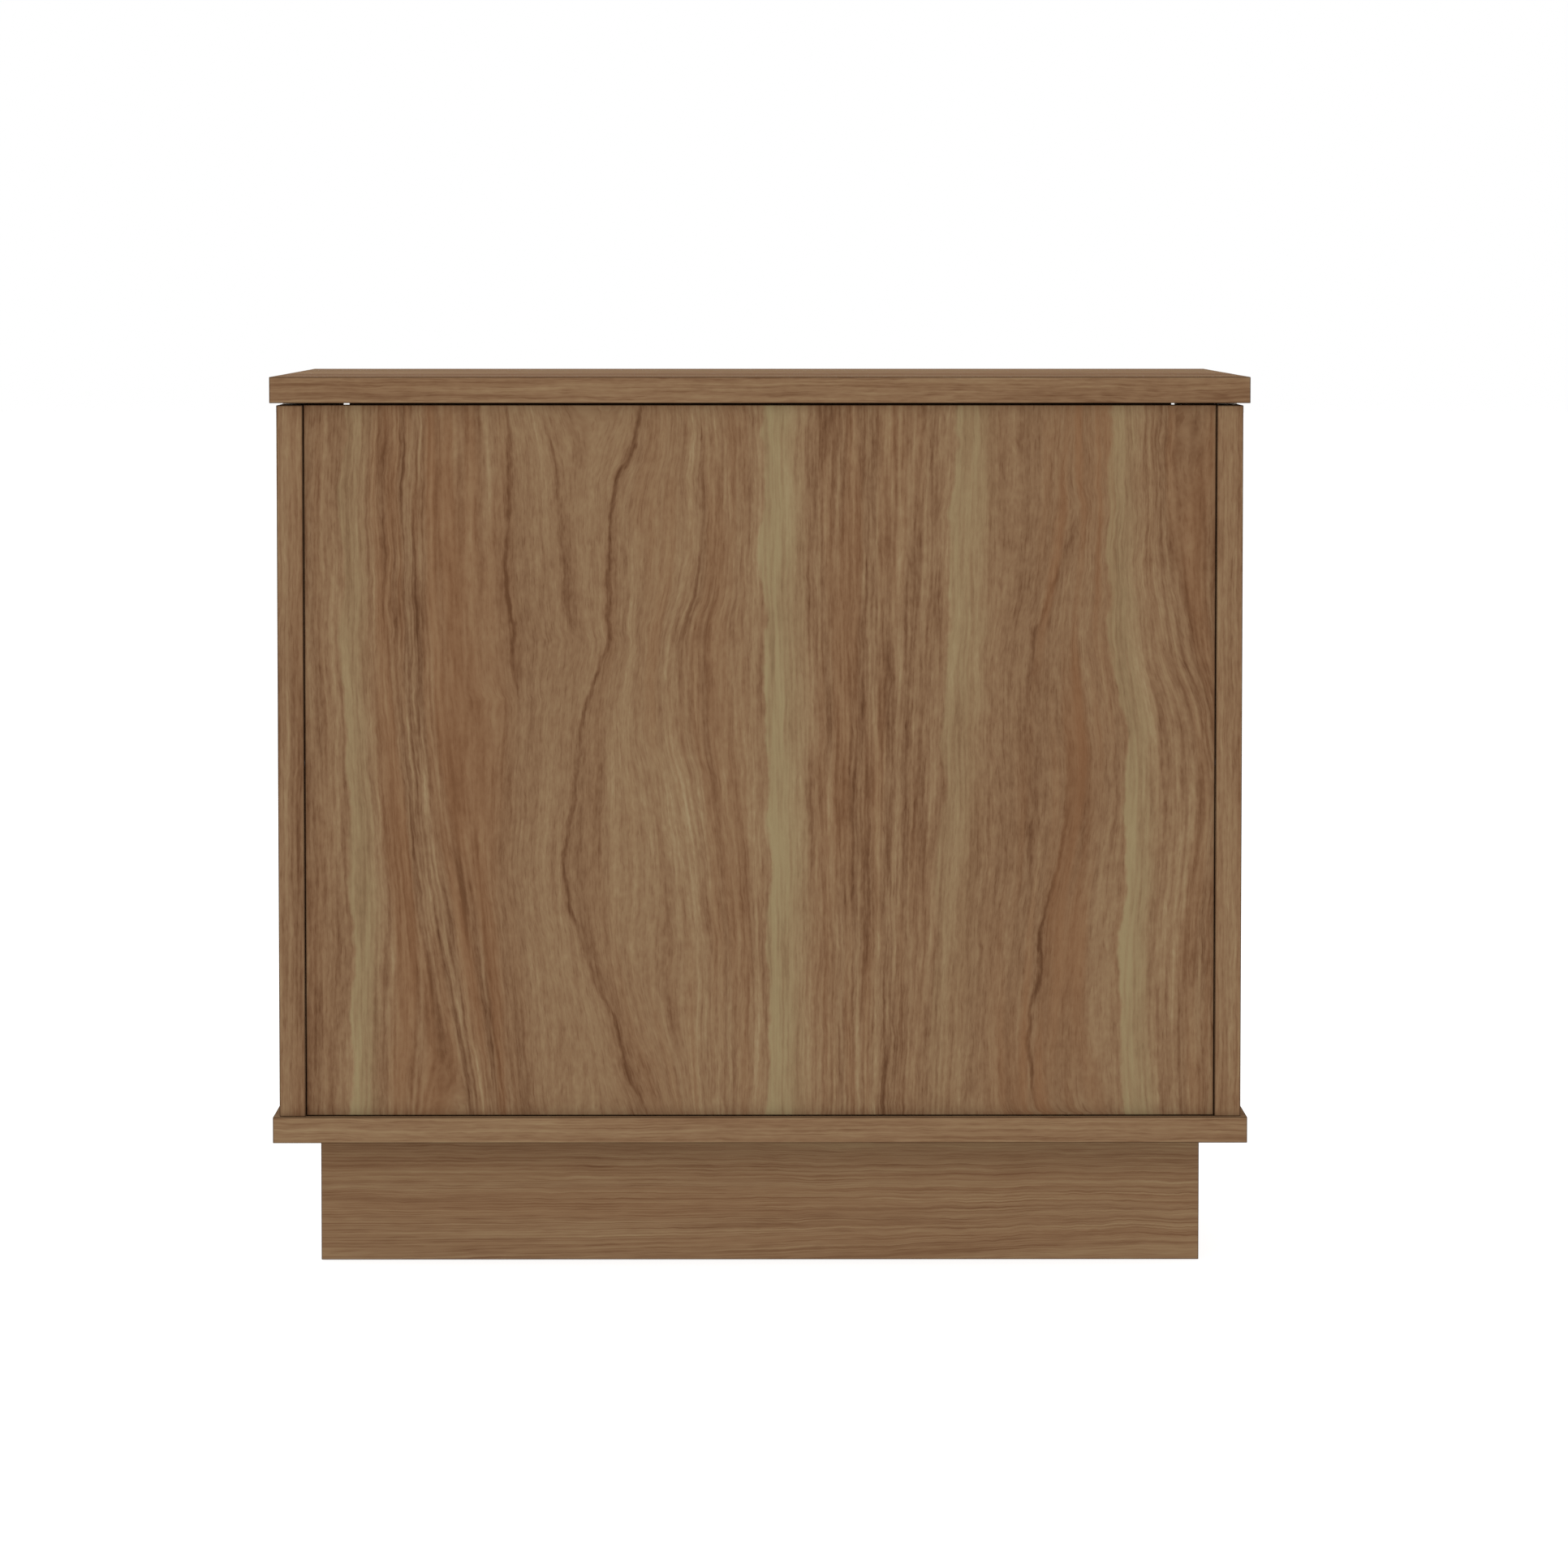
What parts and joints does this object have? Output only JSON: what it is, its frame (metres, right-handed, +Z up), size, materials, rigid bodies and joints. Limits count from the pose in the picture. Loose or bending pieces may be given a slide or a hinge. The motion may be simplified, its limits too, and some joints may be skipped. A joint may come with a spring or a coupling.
{
  "type": "cube storage unit",
  "caption": "Low cube cabinet in walnut-pattern board on a recessed plinth, with a floating top board, a plain fixed back and an inset door over an adjustable shelf.",
  "frame": {"origin": "on the floor, on the bottom face of the plinth's middle stretcher, under the middle of the cabinet", "axes": "+Z up; the door faces -Y and the plain back faces +Y, the way it is turned to a wall; +X is to the right seen from the door side"},
  "size_m": [0.6, 0.476, 0.547],
  "materials": {
    "walnut_board": "satin melamine with a brown walnut pattern, grain upright on the walls and lengthwise on the top and bottom",
    "plinth_board": "satin melamine with a brown walnut pattern, grain lengthwise",
    "beech": "raw beech",
    "zinc": "zinc-plated die cast and steel fittings",
    "steel": "nickel-plated steel",
    "handle_metal": "dark bronze, satin",
    "nylon": "natural nylon",
    "brown_plastic": "moulded brown plastic",
    "magnet": "ferrite magnet"
  },
  "bodies": {
    "cabinet": {"back_cam_bolt_left": "zinc", "back_cam_bolt_right": "zinc", "back_cam_lock_left": "zinc", "back_cam_lock_right": "zinc", "back_dowel_left": "beech", "back_dowel_right": "beech", "back_panel": "walnut_board", "base_screw_left_front": "zinc", "base_screw_left_rear": "zinc", "base_screw_right_front": "zinc", "base_screw_right_rear": "zinc", "bottom_panel": "walnut_board", "bottom_pivot_pin": "steel", "catch_housing": "brown_plastic", "catch_magnet": "magnet", "left_side_panel": "walnut_board", "plinth_corner_block_left_front": "beech", "plinth_corner_block_left_rear": "beech", "plinth_corner_block_right_front": "beech", "plinth_corner_block_right_rear": "beech", "plinth_front_rail": "plinth_board", "plinth_left_rail": "plinth_board", "plinth_middle_stretcher": "plinth_board", "plinth_rear_rail": "plinth_board", "plinth_right_rail": "plinth_board", "plinth_screw_left_front": "zinc", "plinth_screw_left_rear": "zinc", "plinth_screw_right_front": "zinc", "plinth_screw_right_rear": "zinc", "right_side_panel": "walnut_board", "shelf_panel": "walnut_board", "shelf_pin_left_front": "steel", "shelf_pin_left_rear": "steel", "shelf_pin_right_front": "steel", "shelf_pin_right_rear": "steel", "top_cam_bolt_left_front": "zinc", "top_cam_bolt_left_rear": "zinc", "top_cam_bolt_right_front": "zinc", "top_cam_bolt_right_rear": "zinc", "top_cam_lock_left_front": "zinc", "top_cam_lock_left_rear": "zinc", "top_cam_lock_right_front": "zinc", "top_cam_lock_right_rear": "zinc", "top_panel": "walnut_board", "top_pivot_pin": "steel", "top_spacer_left_front": "nylon", "top_spacer_left_rear": "nylon", "top_spacer_right_front": "nylon", "top_spacer_right_rear": "nylon"},
    "door": {"door_panel": "walnut_board", "door_bottom_bush": "brown_plastic", "door_top_bush": "brown_plastic", "handle_bar": "handle_metal", "handle_post_lower": "handle_metal", "handle_post_upper": "handle_metal", "handle_screw_lower": "zinc", "handle_screw_upper": "zinc", "strike_plate": "steel"}
  },
  "joints": [
    {"name": "door_hinge", "type": "hinge", "parent": "cabinet", "child": "door", "pos_m": [-0.269, -0.215, 0.3115], "axis": [0, 0, -1], "range_deg": [0, 110]}
  ]
}
